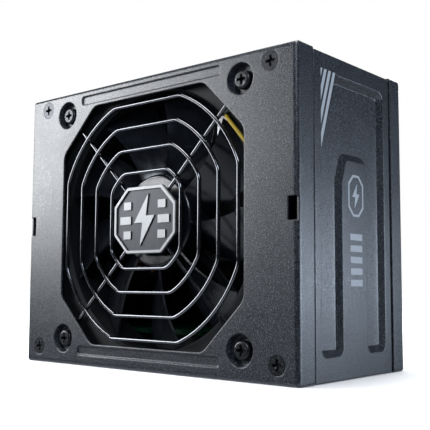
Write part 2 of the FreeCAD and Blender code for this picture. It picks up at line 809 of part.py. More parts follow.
def guard_spoke(angle):
    """Diagonal wire behind the rings, with a weld tab under the cover."""
    wire = rod(V(0, deep(SPOKE_DEPTH), FAN_Z), V(SPOKE_REACH, deep(SPOKE_DEPTH), FAN_Z), WIRE)
    weld = slab((SPOKE_REACH - 1.8, SPOKE_REACH), (SHEET, SPOKE_DEPTH), (FAN_Z - 0.9, FAN_Z + 0.9))
    spoke = wire.fuse(weld)
    spoke.rotate(V(0, 0, FAN_Z), V(0, 1, 0), angle)
    return spoke


def fan_guard():
    """Four rings on four spokes."""
    rings = [guard_ring(INNER_FLAT + RING_STEP * index) for index in range(RING_COUNT)]
    spokes = [guard_spoke(45 + 90 * index) for index in range(4)]
    return joined(spokes + rings)


def badge_outline(shrink):
    """Badge octagon, moved inwards."""
    trim = shrink * (2 - math.sqrt(2))
    return octagon(BADGE_HALF_W - shrink, BADGE_HALF_H - shrink, BADGE_CHAMFER - trim, FAN_Z)


def badge_plate():
    """Dark field of the badge."""
    return front_plate(badge_outline(BADGE_RIM), 0.8, (BADGE_FIELD, BADGE_DEPTH))


def badge_rim():
    """Bright frame round the badge."""
    outer = front_plate(badge_outline(0), 1.4, (0, BADGE_DEPTH))
    outer = outer.makeFillet(0.3, edges_where(outer, lambda p: p.y < FRONT + 0.01))
    return outer.cut(front_plate(badge_outline(BADGE_RIM), 0.8, (-1, BADGE_DEPTH + 1)))


def badge_emblem():
    """Lightning bolt between two fans of bars."""
    top = BADGE_FIELD - EMBLEM_RISE
    points = face_points(bolt_pairs(FAN_Z, BOLT_SCALE), top)
    pieces = [Part.Face(Part.makePolygon(points + points[:1])).extrude(V(0, EMBLEM_RISE, 0))]
    for row in (-1, 0, 1):
        z = FAN_Z + EMBLEM_BAR_STEP * row
        outer = EMBLEM_BAR_END - EMBLEM_BAR_TAPER * abs(row)
        limits_z = (z - EMBLEM_BAR_HALF, z + EMBLEM_BAR_HALF)
        bar = slab((EMBLEM_BAR_START, outer), (top, BADGE_FIELD), limits_z)
        pieces.extend(both_sides(bar))
    return group(pieces)


# ---------------------------------------------------------------- fan

def square_flange(depth):
    """Square flange of the fan frame with rounded corners."""
    half = FAN_SIZE / 2
    pairs = [(half, FAN_Z + half), (half, FAN_Z - half), (-half, FAN_Z - half), (-half, FAN_Z + half)]
    return front_plate(pairs, 4.0, depth)


def fan_frame():
    """Square fan frame with its duct, corner posts, rear struts and motor seat."""
    front = square_flange((FAN_FRONT, FAN_FRONT + FAN_FLANGE_THICK))
    rear = square_flange((FAN_BACK - FAN_FLANGE_THICK, FAN_BACK))
    wall = y_rod(0, FAN_Z, (FAN_FRONT, FAN_BACK), DUCT_RADIUS + DUCT_WALL)
    posts = [y_rod(x, z, (FAN_FRONT, FAN_BACK), CORNER_POST_RADIUS) for x, z in fan_corners()]
    frame = joined([front, rear, wall] + posts)
    duct = y_rod(0, FAN_Z, (FAN_FRONT - 1, FAN_BACK + 1), DUCT_RADIUS)
    mouth_radii = (DUCT_RADIUS + MOUTH_FLARE, DUCT_RADIUS)
    mouth = y_cone(0, FAN_Z, (FAN_FRONT - 0.01, FAN_FRONT + MOUTH_DEPTH), mouth_radii)
    holes = [y_rod(x, z, (FAN_FRONT - 1, FAN_BACK + 1), CORNER_HOLE_RADIUS) for x, z in fan_corners()]
    groove = y_rod(*LEAD_GROOVE, (FAN_FRONT - 1, FAN_BACK + 1), LEAD_GROOVE_RADIUS)
    frame = frame.cut([duct, mouth] + holes)
    seat_front = FAN_BACK - MOTOR_BASE_THICK
    seat = y_rod(0, FAN_Z, (seat_front, FAN_BACK), MOTOR_BASE_RADIUS)
    struts = []
    for index, width in enumerate(STRUT_WIDTHS):
        limits_z = (FAN_Z - width / 2, FAN_Z + width / 2)
        strut = slab((STRUT_START, DUCT_RADIUS + 1), (seat_front, FAN_BACK), limits_z)
        strut.rotate(V(0, 0, FAN_Z), V(0, 1, 0), -45 - 90 * index)
        struts.append(strut)
    post = y_tube(0, FAN_Z, (HUB_FRONT + BEARING_START, FAN_BACK), *BEARING_RADII)
    bore = y_rod(0, FAN_Z, (0, FAN_BACK - 0.5), BEARING_RADII[1])
    return joined([frame, seat] + struts).cut([bore, groove]).fuse(post)


def blade_section(radius, share):
    """Curved closed section of a blade on a flat plane; share runs from root to tip."""
    sweep = math.radians(BLADE_SWEEP * share ** 1.5)
    chord = radius * math.radians(BLADE_CHORD - BLADE_NARROWING * share)
    radial = V(math.cos(sweep), 0, math.sin(sweep))
    around = V(math.sin(sweep), 0, -math.cos(sweep))
    normal = around * 0.6 - V(0, 0.8, 0)
    front = HUB_FRONT + 0.5 - 0.4 * share
    back = HUB_BACK - 1.6 - 1.2 * share
    rims = ([], [])
    for step in (0.0, 0.35, 0.7, 1.0):
        depth = front + (back - front) * step ** 0.85
        thick = BLADE_THICK * (0.45 + 0.55 * math.sin(math.pi * (0.15 + 0.7 * step)))
        point = radial * radius + around * (chord * (step - 0.5)) + V(0, deep(depth), 0)
        rims[0].append(point - normal * (thick / 2))
        rims[1].append(point + normal * (thick / 2))
    upper = Part.BSplineCurve()
    upper.interpolate(rims[0])
    lower = Part.BSplineCurve()
    lower.interpolate(rims[1][::-1])
    edges = [
        upper.toShape(),
        Part.LineSegment(rims[0][-1], rims[1][-1]).toShape(),
        lower.toShape(),
        Part.LineSegment(rims[1][0], rims[0][0]).toShape(),
    ]
    return Part.Wire(edges)


def blade():
    """One swept fan blade about the Y axis, trimmed to the tip circle."""
    root = HUB_RADIUS - 0.8
    sections = []
    for share in (0.0, 0.33, 0.66, 1.0):
        radius = root + (BLADE_TIP + 0.4 - root) * share
        sections.append(blade_section(radius, share))
    limit = rod(V(0, FRONT, 0), V(0, deep(FAN_BACK), 0), BLADE_TIP)
    return Part.makeLoft(sections, True, False).common(limit)


def fan_impeller():
    """Hub cup with its blades."""
    hub = y_rod(0, FAN_Z, (HUB_FRONT, HUB_BACK), HUB_RADIUS)
    hub = hub.makeFillet(1.2, edges_where(hub, lambda p: p.y < deep(HUB_FRONT) + 0.01))
    cup_radius = HUB_RADIUS - HUB_WALL
    inside = y_rod(0, FAN_Z, (HUB_FRONT + HUB_WALL, HUB_BACK + 1), cup_radius)
    blades = []
    for index in range(BLADES):
        copy = blade()
        copy.translate(V(0, 0, FAN_Z))
        copy.rotate(V(0, 0, FAN_Z), V(0, 1, 0), 360 * index / BLADES + BLADE_PHASE)
        blades.append(copy)
    boss = y_rod(0, FAN_Z, (HUB_FRONT + HUB_WALL - 0.1, HUB_FRONT + 2.6), 3.2)
    bore = y_rod(0, FAN_Z, (HUB_FRONT + 0.8, HUB_BACK), SHAFT_RADIUS)
    return hub.multiFuse(blades).cut(inside).fuse(boss).cut(bore)


def rotor_yoke():
    """Steel ring pressed inside the hub."""
    outer = HUB_RADIUS - HUB_WALL
    return y_tube(0, FAN_Z, (HUB_FRONT + HUB_WALL, HUB_BACK - 0.3), outer, outer - YOKE_WALL)


def rotor_magnet():
    """Ring magnet inside the yoke."""
    outer = HUB_RADIUS - HUB_WALL - YOKE_WALL
    return y_tube(0, FAN_Z, (HUB_FRONT + 2.0, HUB_BACK - 0.6), outer, outer - MAGNET_WALL)


def fan_shaft():
    """Shaft fixed in the hub."""
    return y_rod(0, FAN_Z, (HUB_FRONT + 0.8, FAN_BACK - 0.9), SHAFT_RADIUS)


def fan_bearing():
    """Sleeve that carries the shaft."""
    return y_tube(0, FAN_Z, (HUB_FRONT + 3.6, FAN_BACK - 1.2), 2.6, SHAFT_RADIUS + BEARING_CLEARANCE)


def stator_core():
    """Laminated four-pole core on the bearing post."""
    depth = (HUB_FRONT + 4.6, HUB_FRONT + 8.4)
    core = y_rod(0, FAN_Z, depth, 6.0)
    shoes = y_tube(0, FAN_Z, depth, 11.6, 10.2)
    arms = []
    gaps = []
    for index in range(4):
        arm = slab((-1.8, 1.8), depth, (FAN_Z, FAN_Z + 10.6))
        gap = slab((-1.2, 1.2), depth, (FAN_Z + 8, FAN_Z + 13))
        arm.rotate(V(0, 0, FAN_Z), V(0, 1, 0), 90 * index)
        gap.rotate(V(0, 0, FAN_Z), V(0, 1, 0), 45 + 90 * index)
        arms.append(arm)
        gaps.append(gap)
    bore = y_rod(0, FAN_Z, (0, FAN_BACK), 3.6)
    return joined([core, shoes] + arms).cut(gaps + [bore])


def stator_coils():
    """Copper coil on each arm of the core."""
    coils = []
    for index in range(4):
        outer = slab((-3.1, 3.1), (HUB_FRONT + 3.4, HUB_FRONT + 9.4), (FAN_Z + 6.4, FAN_Z + 9.6))
        outer = outer.makeFillet(0.8, [e for e in outer.Edges if abs(e.tangentAt(0).z) > 0.9])
        inner = slab((-1.85, 1.85), (HUB_FRONT + 4.55, HUB_FRONT + 8.45), (FAN_Z + 5, FAN_Z + 11))
        coil = outer.cut(inner)
        coil.rotate(V(0, 0, FAN_Z), V(0, 1, 0), 90 * index)
        coils.append(coil)
    return group(coils)


def fan_circuit_board():
    """Round driver board behind the stator."""
    depth = (FAN_BACK - MOTOR_BASE_THICK - 1.2, FAN_BACK - MOTOR_BASE_THICK - 0.3)
    return y_tube(0, FAN_Z, depth, 12.0, 3.65)


# ---------------------------------------------------------------- wires

def lead(points, radius, longest_reach):
    """Round wire along straight runs joined by tangent arcs that start at most a reach away."""
    edges = []
    last = points[0]
    for index in range(1, len(points) - 1):
        point = points[index]
        back = points[index - 1] - point
        ahead = points[index + 1] - point
        reach = min(0.45 * min(back.Length, ahead.Length), longest_reach)
        back.normalize()
        ahead.normalize()
        half = back.getAngle(ahead) / 2
        bend = reach * math.tan(half)
        middle = (back + ahead).normalize()
        centre = point + middle * (bend / math.sin(half))
        start = point + back * reach
        end = point + ahead * reach
        edges.append(Part.LineSegment(last, start).toShape())
        edges.append(Part.Arc(start, centre - middle * bend, end).toShape())
        last = end
    edges.append(Part.LineSegment(last, points[-1]).toShape())
    first_run = points[1] - points[0]
    profile = Part.Wire(Part.makeCircle(radius, points[0], first_run))
    return Part.Wire(edges).makePipeShell([profile], True, False)


def route(places):
    """Points of a wire from x, depth, z places."""
    return [V(x, deep(depth), z) for x, depth, z in places]


def fan_wire(place):
    """One wire straight from the fan motor to the plug on the main board."""
    points = [point + V(*side) * place for point, side in zip(route(FAN_LEAD), LEAD_SPREAD)]
    return lead(points, LEAD_RADIUS, BEND_REACH)


def fan_wires():
    """The two black wires of the fan lead."""
    return group([fan_wire(0), fan_wire(1)])


def fan_wire_yellow():
    """Yellow wire of the fan lead, tucked over the front of the fan frame on its way."""
    return lead(route(YELLOW_LEAD), LEAD_RADIUS, TIGHT_REACH)


def fan_plug():
    """Plug of the fan lead on its board header."""
    x, depth, z = FAN_LEAD[-1]
    return centred(x, depth + 4.65, z, (4.6, 8.9, 8.2))


def mains_wires():
    """Stout wires from the inlet to the switch and to the board."""
    return group([lead(route(places), STOUT_RADIUS, BEND_REACH) for places in INLET_WIRES])


def ground_wire():
    """Green and yellow wire from the inlet's earth tab to the case."""
    return lead(route(EARTH_WIRE), STOUT_RADIUS, BEND_REACH)


def ground_screw():
    """Earth screw with its ring terminal under the mains wall."""
    x, depth = -56.2, 20.6
    ring = z_rod(x, depth, (WALL_TOP - SHEET - 1.0, WALL_TOP - SHEET), 3.6)
    nut = z_rod(x, depth, (WALL_TOP - SHEET - 3.2, WALL_TOP - SHEET - 0.9), 2.9)
    crimp = z_rod(x, depth, (91.5, WALL_TOP - SHEET - 3.1), 1.7)
    return joined([ring, nut, crimp])


# ---------------------------------------------------------------- mains inlet and switch

def inlet_pairs(size):
    """Corners of the inlet shape, with two corners cut, as x and depth about its middle."""
    half_x = size[0] / 2
    half_d = size[1] / 2
    cut = 4.6 * size[1] / INLET_CAVITY[1]
    pairs = [(half_x, half_d), (half_x, cut - half_d), (half_x - cut, -half_d)]
    return pairs + [(-x, depth) for x, depth in reversed(pairs)]


def inlet_plug(size, z, radius):
    """Prism of the inlet shape between two heights."""
    points = [V(INLET[0] + x, deep(INLET[1] + depth), z[0]) for x, depth in inlet_pairs(size)]
    wire = rounded_wire(points, [radius] * len(points))
    return Part.Face(wire).extrude(V(0, 0, z[1] - z[0]))


def inlet_housing():
    """Three-pole mains inlet: flange, body and the recess that takes the plug."""
    top = WALL_TOP + INLET_FLANGE_THICK
    flange = top_plate(INLET, INLET_FLANGE, 2.0, (WALL_TOP, top))
    flange = flange.makeFillet(0.6, edges_where(flange, lambda p: p.z > top - 0.01))
    body = top_plate(INLET, INLET_BODY, 1.0, (top - INLET_BACK, WALL_TOP + 0.2))
    recess = inlet_plug(INLET_CAVITY, (top - INLET_DEPTH, top + 1), 1.2)
    return joined([flange, body]).cut([recess] + inlet_pin_blades(0.0))


def inlet_pin_blades(grow):
    """The three blades, from their tips to the solder tabs."""
    top = WALL_TOP + INLET_FLANGE_THICK
    blades = []
    for x, depth, drop in ((-7.0, 1.5, 3.0), (7.0, 1.5, 3.0), (0.0, -2.8, 1.4)):
        middle = (INLET[0] + x, INLET[1] + depth)
        blades.append(top_plate(middle, (2.0 + grow, 4.0 + grow), 0.5, (79.2, top - drop)))
    return blades


def inlet_pins():
    """Live, neutral and earth blades."""
    return group(inlet_pin_blades(0.0))


def switch_housing():
    """Rocker switch body with its bezel and pivot holes."""
    top = WALL_TOP + SWITCH_BEZEL_THICK
    bezel = top_plate(SWITCH, SWITCH_BEZEL, 1.2, (WALL_TOP, top))
    bezel = bezel.makeFillet(0.5, edges_where(bezel, lambda p: p.z > top - 0.01))
    body = top_plate(SWITCH, SWITCH_BODY, 0.3, (top - SWITCH_TALL, WALL_TOP + 0.2))
    inner = (SWITCH_BODY[0] - 2 * SWITCH_WALL, SWITCH_BODY[1] - 2 * SWITCH_WALL)
    well = top_plate(SWITCH, inner, 0.2, (ROCKER_PIVOT - 4.6, top + 1))
    reach = SWITCH_BODY[0] / 2 + 1
    pivot = rocker_rod(reach, 1.25)
    return joined([bezel, body]).cut([well, pivot])


def rocker_rod(reach, radius):
    """Cylinder along the rocker's pivot axis."""
    start = V(SWITCH[0] - reach, deep(SWITCH[1]), ROCKER_PIVOT)
    end = V(SWITCH[0] + reach, deep(SWITCH[1]), ROCKER_PIVOT)
    return rod(start, end, radius)


def switch_rocker():
    """Rocker with trunnions, tipped to its off position."""
    half_x = SWITCH_BODY[0] / 2 - SWITCH_WALL - ROCKER_GAP
    end_radius = SWITCH_BODY[1] / 2 - SWITCH_WALL - ROCKER_GAP
    drum = rocker_rod(half_x, end_radius)
    profile = ((-10, 8.2), (0, 6.0), (10, 8.2), (10, -1.2), (-10, -1.2))
    points = [V(SWITCH[0] - half_x, deep(SWITCH[1]) + y, ROCKER_PIVOT + z) for y, z in profile]
    wedge = Part.Face(Part.makePolygon(points + points[:1])).extrude(V(2 * half_x, 0, 0))
    rocker = drum.common(wedge)
    crown = edges_where(rocker, lambda p: p.z > ROCKER_PIVOT + 5)
    rocker = rocker.makeFillet(0.4, crown)
    rocker = rocker.fuse(rocker_rod(SWITCH_BODY[0] / 2 - 0.2, 1.2))
    rocker.rotate(V(0, deep(SWITCH[1]), ROCKER_PIVOT), V(1, 0, 0), -ROCKER_TILT)
    return rocker


def switch_terminals():
    """Two spade terminals under the switch."""
    low = WALL_TOP + SWITCH_BEZEL_THICK - SWITCH_TALL
    tabs = []
    for shift in (-5.0, 5.0):
        tabs.append(centred(SWITCH[0], SWITCH[1] + shift, low - 4.0, (0.8, 4.8, 8.0)))
    return group(tabs)


# ---------------------------------------------------------------- cable sockets

def socket_cells(x, depth, columns):
    """Middle of each contact cell of a socket."""
    cells = []
    for column in range(columns):
        for row in (-0.5, 0.5):
            cells.append((x + (column - (columns - 1) / 2) * PIN_PITCH, depth + row * PIN_PITCH))
    return cells


def socket_housing(x, depth, columns):
    """Cable socket with a cell for each contact and a latch ridge."""
    low = WALL_BOTTOM - SOCKET_PROUD
    size = (socket_width(columns), 2 * PIN_PITCH + 1.4)
    body = top_plate((x, depth), size, 0.3, (low, low + SOCKET_TALL))
    cells = []
    for index, (cell_x, cell_d) in enumerate(socket_cells(x, depth, columns)):
        radius = 0.9 if index % 3 == 0 else 0.25
        cells.append(top_plate((cell_x, cell_d), (3.5, 3.5), radius, (low - 1, low + SOCKET_TALL - 1.5)))
    latch_middle = (x, depth + size[1] / 2 + 0.9)
    latch = top_plate(latch_middle, (4.0, 2.0), 0.3, (SHEET + WALL_BOTTOM, low + SOCKET_TALL))
    return body.cut(cells + contact_pins(x, depth, columns)).fuse(latch)


def sockets():
    """All cable sockets."""
    return group([socket_housing(x, depth, columns) for x, depth, columns in socket_layout()])


def contact_pins(x, depth, columns):
    """The square pins of one socket, soldered to the socket board."""
    tip = WALL_BOTTOM - SOCKET_PROUD + 3.0
    size = (1.1, 1.1, SOCKET_BOARD_Z - tip)
    middle_z = (tip + SOCKET_BOARD_Z) / 2
    return [centred(px, pd, middle_z, size) for px, pd in socket_cells(x, depth, columns)]


def socket_pins():
    """One pin in every cell of every socket."""
    pins = []
    for x, depth, columns in socket_layout():
        pins += contact_pins(x, depth, columns)
    return group(pins)


def socket_board():
    """Circuit board behind the cable sockets."""
    return slab((-57.5, 57.5), (20.0, 55.5), (SOCKET_BOARD_Z, SOCKET_BOARD_Z + BOARD_THICK))


def bus_bars():
    """Copper bars between the main board and the socket board."""
    bars = []
    for x in (-30.0, -10.0, 10.0, 30.0):
        low = SOCKET_BOARD_Z + BOARD_THICK
        foot = slab((x - 4, x + 4), (50.0, BOARD_DEPTH), (low, low + 1.0))
        leg = slab((x - 4, x + 4), (BOARD_DEPTH - 1.0, BOARD_DEPTH), (low, 18.5))
        bars.append(foot.fuse(leg))
    return group(bars)


# ---------------------------------------------------------------- main board and its parts

def main_board():
    """Main circuit board, parallel to the back cover."""
    board = slab((-BOARD_X, BOARD_X), (BOARD_DEPTH, BOARD_DEPTH + BOARD_THICK), BOARD_Z)
    return board.cut([y_rod(x, z, (50, 60), 1.6) for x, z in STANDOFFS])


def board_standoffs():
    """Four threaded posts on the back cover."""
    posts = []
    for x, z in STANDOFFS:
        posts.append(y_tube(x, z, (BOARD_DEPTH + BOARD_THICK, DEPTH - SHEET), 3.0, 1.5))
    return group(posts)


def board_screws():
    """Four pan-head screws through the board."""
    screws = []
    for x, z in STANDOFFS:
        head = y_rod(x, z, (BOARD_DEPTH - 1.8, BOARD_DEPTH), 2.8)
        head = head.makeFillet(0.8, edges_where(head, lambda p: p.y < deep(BOARD_DEPTH - 1.7)))
        shank = y_rod(x, z, (BOARD_DEPTH - 0.1, DEPTH - SHEET - 0.5), 1.45)
        recess = cross_recess(x, z, (BOARD_DEPTH - 1.81, BOARD_DEPTH - 0.8), 1.5)
        screws.append(joined([head, shank]).cut(recess))
    return group(screws)


def insulation_sheet():
    """Plastic sheet between the solder side and the back cover."""
    sheet = slab((-58.5, 58.5), (60.6, 61.0), (14.5, 93.4))
    return sheet.cut([y_rod(x, z, (50, 63), 3.1) for x, z in STANDOFFS])


def can(x, z, radius, height):
    """Capacitor can standing on the board, with its crimp groove."""
    body = y_rod(x, z, (BOARD_DEPTH - height, BOARD_DEPTH), radius)
    body = body.makeFillet(0.1 * radius, [e for e in body.Edges if e.Closed])
    groove_d = BOARD_DEPTH - 0.16 * height
    groove = Part.makeTorus(radius + 0.1, 0.05 * radius + 0.2, V(x, deep(groove_d), z), V(0, 1, 0))
    return body.cut(groove)


def bulk_capacitor():
    """Large input storage capacitor."""
    return can(38.0, 70.0, 13.5, 34.0)


def output_capacitors():
    """Output filter capacitors along the socket side, and two beside the control board."""
    row = [can(-44.0 + 9.6 * index, 23.0, 4.0, 9.0) for index in range(7)]
    return group(row + [can(50.0, 28.0 + 7.4 * index, 3.2, 9.0) for index in range(2)])


def heat_sink(x, z, size, fins, fin_size):
    """Extruded plate with fins at its outer end."""
    length, thick, height = size
    plate = slab((x - thick / 2, x + thick / 2), (BOARD_DEPTH - height, BOARD_DEPTH - 2), (z, z + length))
    ribs = []
    for index in range(fins):
        depth = BOARD_DEPTH - height + 0.8 + index * 3.4
        ribs.append(slab((x - fin_size, x + thick / 2), (depth - 0.8, depth + 0.8), (z, z + length)))
    feet = [y_rod(x, z + place, (BOARD_DEPTH - 2.2, BOARD_DEPTH), 1.2) for place in (4, length - 4)]
    return joined([plate] + ribs + feet)


def primary_heat_sink():
    """Heat sink of the input transistors."""
    return heat_sink(19.0, 50.0, (38.0, 2.4, 33.0), 4, 7.0)


def secondary_heat_sink():
    """Heat sink of the output stage, lying across the board."""
    sink = heat_sink(0.0, -23.0, (46.0, 2.4, 30.0), 3, 6.0)
    sink.rotate(V(0, 0, 0), V(0, 1, 0), 90)
    sink.translate(V(-2.0, 0, 38.5))
    return sink


def power_transistors():
    """Flat packages clamped to the primary heat sink."""
    packages = []
    for index in range(3):
        z = 56.0 + 11.5 * index
        case = slab((20.25, 24.0), (36.0, 52.0), (z - 5, z + 5))
        legs = [slab((21.6, 22.4), (51.9, BOARD_DEPTH), (z + k - 0.5, z + k + 0.5)) for k in (-2.5, 0, 2.5)]
        packages.append(joined([case] + legs))
    return group(packages)


def bridge_rectifier():
    """Bridge rectifier on the board."""
    case = slab((-1.2, 2.8), (38.0, 52.0), (70.0, 88.0))
    legs = [slab((0.4, 1.2), (51.9, BOARD_DEPTH), (z - 0.6, z + 0.6)) for z in (73, 77, 81, 85)]
    return joined([case] + legs)


def toroid(x, z, radius, thick, depth):
    """Ring core lying on the board side."""
    return y_tube(x, z, depth, radius, radius - thick)


def pfc_core():
    """Ring core of the power-factor choke."""
    return toroid(*CHOKE, 12.0, 6.0, (34.0, 46.0))


def pfc_winding():
    """Turns of copper wire round the ring core."""
    turns = []
    count = 16
    for index in range(count):
        turn = slab((-0.8, 0.8), (32.2, 47.8), (4.4, 13.6))
        hollow = slab((-2, 2), (33.9, 46.1), (5.9, 12.1))
        turn = turn.makeFillet(0.7, [e for e in turn.Edges if abs(e.tangentAt(0).x) > 0.9])
        turn = turn.cut(hollow)
        turn.rotate(V(0, 0, 0), V(0, 1, 0), 360 * index / count)
        turn.translate(V(CHOKE[0], 0, CHOKE[1]))
        turns.append(turn)
    return group(turns)


def choke_cradle():
    """Plastic seat that holds the choke off the board."""
    seat = y_rod(*CHOKE, (48.0, 50.0), 12.2)
    x, z = CHOKE
    legs = []
    for leg_x in (x - 9, x + 9):
        legs.append(slab((leg_x - 1.5, leg_x + 1.5), (49.9, BOARD_DEPTH), (z - 1.5, z + 1.5)))
    return joined([seat] + legs)


def line_chokes():
    """Two common-mode chokes of the input filter, and the output choke."""
    chokes = []
    for x, z in LINE_CHOKES:
        core = y_tube(x, z, (46.0, 54.0), 7.4, 4.4)
        base = slab((x - 7.6, x + 7.6), (54.0, 55.6), (z - 7.6, z + 7.6))
        chokes.extend((core, base))
    return group(chokes + [output_choke()])


def line_choke_windings():
    """Copper turns of the common-mode chokes."""
    turns = []
    for x, z in LINE_CHOKES:
        for step in range(14):
            outer = slab((-0.45, 0.45), (45.0, 53.9), (3.5, 8.2))
            turn = outer.cut(slab((-2, 2), (45.95, 54.1), (4.35, 7.45)))
            turn.rotate(V(0, 0, 0), V(0, 1, 0), 24 + 22 * (step % 7) + 180 * (step // 7))
            turn.translate(V(x, 0, z))
            turns.append(turn)
    return group(turns)


def film_capacitors():
    """Box-shaped line filter capacitors."""
    boxes = []
    for x, z, size in ((-46.0, 79.0, (18.0, 11.0, 8.0)), (-22.0, 76.5, (17.0, 11.0, 9.0))):
        box = centred(x, BOARD_DEPTH - size[1] / 2, z, size)
        boxes.append(box.makeFillet(0.6, box.Edges))
    return group(boxes)


def transformer_core():
    """Ferrite core of the main transformer."""
    outer = slab((-22.0, 10.0), (29.0, 52.0), (45.0, 49.0))
    other = slab((-22.0, 10.0), (29.0, 52.0), (63.0, 67.0))
    centre = slab((-11.5, -0.5), (35.0, 46.0), (48.9, 63.1))
    sides = [slab(x, (29.0, 52.0), (48.9, 63.1)) for x in ((-22.0, -18.0), (6.0, 10.0))]
    return joined([outer, other, centre] + sides)


def transformer_windings():
    """Taped windings round the core's centre leg."""
    outer = slab((-17.5, 5.5), (30.0, 51.0), (49.5, 62.5))
    outer = outer.makeFillet(3.0, [e for e in outer.Edges if abs(e.tangentAt(0).z) > 0.9])
    return outer.cut(slab((-11.6, -0.4), (34.9, 46.1), (49, 63)))


def transformer_bobbin():
    """Pin base of the main transformer."""
    base = slab((-21.0, 9.0), (52.1, 55.0), (46.0, 66.0))
    pins = [y_rod(x, z, (54.9, BOARD_DEPTH), 0.5) for x in (-18, -12, -6, 0, 6) for z in (48, 64)]
    return joined([base] + pins)


def standby_transformer():
    """Small transformer of the standby supply."""
    core = slab((40.0, 56.0), (45.0, 57.0), (47.5, 51.5))
    back = slab((40.0, 56.0), (45.0, 57.0), (43.5, 45.5))
    coil = slab((42.0, 54.0), (43.5, 56.5), (45.5, 47.5))
    return joined([core, back, coil])


def relay():
    """Inrush bypass relay."""
    box = centred(8.0, BOARD_DEPTH - 7.5, 82.5, (10.0, 15.0, 18.0))
    return box.makeFillet(0.5, box.Edges)


def thermistor():
    """Inrush limiting disc."""
    disc = rod(V(-14.0, deep(48.5), 88.0), V(-10.5, deep(48.5), 88.0), 5.5)
    legs = [y_rod(-12.2, z, (53.6, BOARD_DEPTH), 0.4) for z in (86.4, 89.6)]
    return joined([disc] + legs)


def surge_disc():
    """Surge absorber disc."""
    disc = rod(V(-33.5, deep(49.5), 87.5), V(-30.5, deep(49.5), 87.5), 4.5)
    legs = [y_rod(-32.0, z, (53.6, BOARD_DEPTH), 0.4) for z in (86.2, 88.8)]
    return joined([disc] + legs)


def fuse():
    """Cartridge fuse in its sleeve."""
    return rod(V(-28.0, deep(53.0), 90.6), V(-17.0, deep(53.0), 90.6), 1.9)


def input_protection():
    """Fuse, inrush disc and surge disc of the mains input."""
    return group([fuse(), thermistor(), surge_disc()])


def output_choke():
    """Ring choke near the output."""
    return toroid(37.5, 33.0, 8.0, 4.2, (46.0, 56.0))


def supervisor_board():
    """Upright control board with its small parts."""
    board = slab((26.0, 27.2), (38.0, BOARD_DEPTH), (20.0, 46.0))
    chips = [slab((24.4, 26.1), (41.0, 47.0), (z, z + 5)) for z in (23, 31, 39)]
    return joined([board] + chips)


# ---------------------------------------------------------------- all nodes

NODES = {
    "fan_cover": fan_cover,
    "back_cover": back_cover,
    "side_panel_right": side_panel,
    "side_panel_left": lambda: mirrored(side_panel()),
    "side_marks_right": side_marks,
    "ac_panel": ac_panel,
    "socket_panel": socket_panel,
    "cover_screws": cover_screws,
    "fan_screws": fan_screws,
    "fan_guard": fan_guard,
    "badge_plate": badge_plate,
    "badge_rim": badge_rim,
    "badge_emblem": badge_emblem,
    "fan_frame": fan_frame,
    "fan_impeller": fan_impeller,
    "rotor_yoke": rotor_yoke,
    "rotor_magnet": rotor_magnet,
    "fan_shaft": fan_shaft,
    "fan_bearing": fan_bearing,
    "stator_core": stator_core,
    "stator_coils": stator_coils,
    "fan_circuit_board": fan_circuit_board,
    "fan_wires": fan_wires,
    "fan_wire_yellow": fan_wire_yellow,
    "fan_plug": fan_plug,
    "mains_wires": mains_wires,
    "ground_wire": ground_wire,
    "ground_screw": ground_screw,
    "inlet_housing": inlet_housing,
    "inlet_pins": inlet_pins,
    "switch_housing": switch_housing,
    "switch_rocker": switch_rocker,
    "switch_terminals": switch_terminals,
    "cable_sockets": sockets,
    "socket_pins": socket_pins,
    "socket_board": socket_board,
    "bus_bars": bus_bars,
    "main_board": main_board,
    "board_standoffs": board_standoffs,
    "board_screws": board_screws,
    "insulation_sheet": insulation_sheet,
    "bulk_capacitor": bulk_capacitor,
    "output_capacitors": output_capacitors,
    "supervisor_board": supervisor_board,
    "standby_transformer": standby_transformer,
    "primary_heat_sink": primary_heat_sink,
    "secondary_heat_sink": secondary_heat_sink,
    "power_transistors": power_transistors,
    "bridge_rectifier": bridge_rectifier,
    "pfc_choke_core": pfc_core,
    "pfc_choke_winding": pfc_winding,
    "choke_cradle": choke_cradle,
    "line_chokes": line_chokes,
    "line_choke_windings": line_choke_windings,
    "film_capacitors": film_capacitors,
    "transformer_core": transformer_core,
    "transformer_windings": transformer_windings,
    "transformer_bobbin": transformer_bobbin,
    "relay": relay,
    "input_protection": input_protection,
}


def main():
    """Write one STEP file for each node."""
    os.makedirs("parts", exist_ok=True)
    for name, make in NODES.items():
        shape = make()
        if not shape.isValid():
            print("not valid:", name)
        shape.exportStep("parts/" + name + ".step")
        print(name, len(shape.Solids), "solids,", round(shape.Volume), "mm3")


main()
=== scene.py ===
"""Looks of the compact power supply: materials, printed marks, light, floor and camera."""
import json
import math
import bpy
from mathutils import Matrix, Vector

MM = 0.001

# Between these two values a noise's output mostly lies
NOISE_LOW = 0.3
NOISE_HIGH = 0.7

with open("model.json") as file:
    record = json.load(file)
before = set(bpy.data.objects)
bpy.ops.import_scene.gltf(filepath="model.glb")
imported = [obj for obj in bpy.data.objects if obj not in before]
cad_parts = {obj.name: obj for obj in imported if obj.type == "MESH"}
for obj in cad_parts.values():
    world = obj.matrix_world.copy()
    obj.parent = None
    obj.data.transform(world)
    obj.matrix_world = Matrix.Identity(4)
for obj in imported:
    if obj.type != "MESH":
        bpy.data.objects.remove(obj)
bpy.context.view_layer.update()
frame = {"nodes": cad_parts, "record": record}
NODES = frame["nodes"]


# ---------------------------------------------------------------- node helpers

